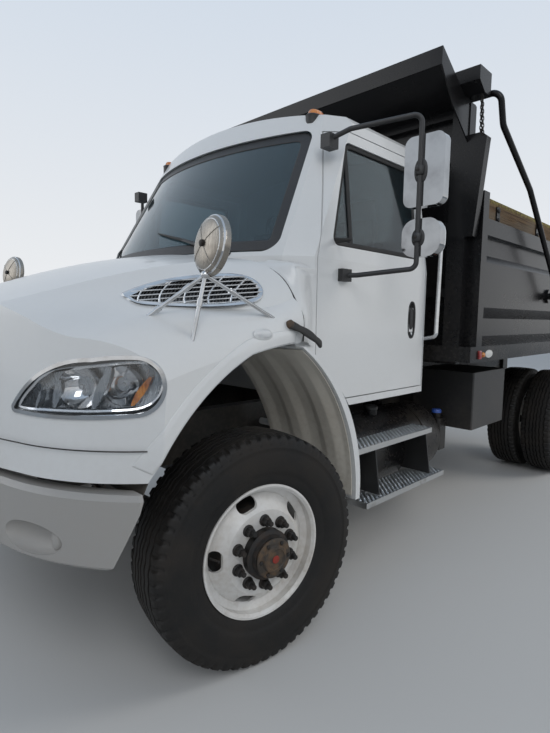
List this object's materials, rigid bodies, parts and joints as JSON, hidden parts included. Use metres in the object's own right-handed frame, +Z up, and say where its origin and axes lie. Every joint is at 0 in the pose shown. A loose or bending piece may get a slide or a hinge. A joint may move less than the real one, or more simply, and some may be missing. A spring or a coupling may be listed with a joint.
{
  "type": "dump truck",
  "caption": "Conventional-cab dump truck with twin rear wheels, a tilting steel body with headboard and tarp arms, swinging tailgate, opening doors and forward-tilting hood.",
  "frame": {"origin": "middle of the box in plan, at the ground under the tyres", "axes": "+X forward out of the hood, +Y to the driver's left, +Z up"},
  "size_m": [5.9378, 2.9, 3.1548],
  "materials": {
    "white_paint": "gloss, lightly dusty",
    "black_paint": "satin, dusty",
    "frame_black": "satin",
    "bumper_grey": "satin",
    "chrome": "polished",
    "black_plastic": "textured",
    "cab_glass": "tinted",
    "lamp_lens": "clear",
    "amber_lens": "gloss",
    "red_lens": "gloss",
    "tyre_rubber": "matt, dusty",
    "rubber_black": "matt",
    "wheel_white": "gloss",
    "hub_iron": "rough, rusty",
    "axle_iron": "rough",
    "tread_aluminium": "pressed grip pattern",
    "board_wood": "weathered, rough",
    "seat_fabric": "woven",
    "interior_grey": "grained",
    "engine_grey": "rough",
    "exhaust_steel": "heat dulled"
  },
  "bodies": {
    "chassis": {"frame_rail_left": "frame_black", "frame_rail_right": "frame_black", "crossmembers": "frame_black", "front_axle": "axle_iron", "rear_axle": "axle_iron", "drive_shaft": "axle_iron", "springs": "axle_iron", "front_bumper": "bumper_grey", "cab_shell": "white_paint", "cab_glass": "cab_glass", "dashboard": "interior_grey", "seats": "seat_fabric", "engine": "engine_grey", "fuel_tanks": "black_paint", "side_boxes": "black_plastic", "steps": "tread_aluminium", "exhaust": "exhaust_steel", "quarter_fenders": "white_paint", "mud_flaps": "rubber_black", "grab_handles": "chrome", "roof_lamps": "amber_lens"},
    "hood": {"hood_shell": "white_paint", "grille": "chrome", "headlamp_bezels": "chrome", "headlamp_lenses": "lamp_lens", "side_intakes": "chrome", "hood_mirrors": "chrome"},
    "bed": {"bed_floor": "black_paint", "bed_side_left": "black_paint", "bed_side_right": "black_paint", "headboard": "black_paint", "side_boards": "board_wood", "tail_lamps": "red_lens"},
    "gate": {"tailgate": "black_paint"},
    "bail": {"tarp_bail": "black_paint"},
    "cylinder": {"hoist_cylinder": "frame_black"},
    "rod": {"hoist_rod": "chrome"},
    "left_door": {"door_left": "white_paint", "door_glass_left": "cab_glass", "mirror_arm_left": "black_plastic", "mirrors_left": "chrome"},
    "left_knuckle": {"knuckle_left": "axle_iron"},
    "front_left_wheel": {"front_tyre_left": "tyre_rubber", "front_rim_left": "wheel_white", "front_hub_left": "hub_iron"},
    "rear_left_wheels": {"rear_tyres_left": "tyre_rubber", "rear_rims_left": "wheel_white", "rear_hub_left": "hub_iron"},
    "right_door": {"door_right": "white_paint", "door_glass_right": "cab_glass", "mirror_arm_right": "black_plastic", "mirrors_right": "chrome"},
    "right_knuckle": {"knuckle_right": "axle_iron"},
    "front_right_wheel": {"front_tyre_right": "tyre_rubber", "front_rim_right": "wheel_white", "front_hub_right": "hub_iron"},
    "rear_right_wheels": {"rear_tyres_right": "tyre_rubber", "rear_rims_right": "wheel_white", "rear_hub_right": "hub_iron"}
  },
  "joints": [
    {"name": "hood_tilt", "type": "hinge", "parent": "chassis", "child": "hood", "pos_m": [2.937, 0, 0.937], "axis": [0, 1, 0], "range_deg": [0, 80]},
    {"name": "bed_tilt", "type": "hinge", "parent": "chassis", "child": "bed", "pos_m": [-2.581, 0, 1.12], "axis": [0, -1, 0], "range_deg": [0, 50]},
    {"name": "tailgate_swing", "type": "hinge", "parent": "bed", "child": "gate", "pos_m": [-2.923, 0, 2.33], "axis": [0, 1, 0], "range_deg": [0, 60]},
    {"name": "tarp_bail_swing", "type": "hinge", "parent": "bed", "child": "bail", "pos_m": [-1.381, 0, 1.759], "axis": [0, -1, 0], "range_deg": [0, 118]},
    {"name": "hoist_cylinder_tilt", "type": "hinge", "parent": "chassis", "child": "cylinder", "pos_m": [-0.181, 0, 0.88], "axis": [0, 1, 0], "range_deg": [0, 24.11]},
    {"name": "hoist_rod_slide", "type": "slide", "parent": "cylinder", "child": "rod", "axis": [-0.9735, 0, 0.2286], "range_m": [0, 0.8484]},
    {"name": "door_left_swing", "type": "hinge", "parent": "chassis", "child": "left_door", "pos_m": [1.514, 1, 1.5], "axis": [0, 0, -1], "range_deg": [0, 65]},
    {"name": "steer_left", "type": "hinge", "parent": "chassis", "child": "left_knuckle", "pos_m": [1.969, 0.93, 0.52], "axis": [0, 0, 1], "range_deg": [-26, 44]},
    {"name": "front_left_spin", "type": "hinge", "parent": "left_knuckle", "child": "front_left_wheel", "pos_m": [1.98433, 1.02679, 0.52], "axis": [0.1564, 0.9877, 0], "continuous": true},
    {"name": "rear_left_spin", "type": "hinge", "parent": "chassis", "child": "rear_left_wheels", "pos_m": [-2.231, 0.915, 0.52], "axis": [0, 1, 0], "continuous": true},
    {"name": "door_right_swing", "type": "hinge", "parent": "chassis", "child": "right_door", "pos_m": [1.514, -1, 1.5], "axis": [0, 0, 1], "range_deg": [0, 65]},
    {"name": "steer_right", "type": "hinge", "parent": "chassis", "child": "right_knuckle", "pos_m": [1.969, -0.93, 0.52], "axis": [0, 0, 1], "range_deg": [-26, 44]},
    {"name": "front_right_spin", "type": "hinge", "parent": "right_knuckle", "child": "front_right_wheel", "pos_m": [1.95367, -1.02679, 0.52], "axis": [0.1564, 0.9877, 0], "continuous": true},
    {"name": "rear_right_spin", "type": "hinge", "parent": "chassis", "child": "rear_right_wheels", "pos_m": [-2.231, -0.915, 0.52], "axis": [0, 1, 0], "continuous": true}
  ],
  "couplings": [
    {"joint": "steer_right", "follows": "steer_left", "ratio": 1},
    {"joint": "hoist_cylinder_tilt", "follows": "bed_tilt", "ratio": 0.47415},
    {"joint": "hoist_rod_slide", "follows": "bed_tilt", "m_per_rad": 0.96765}
  ]
}
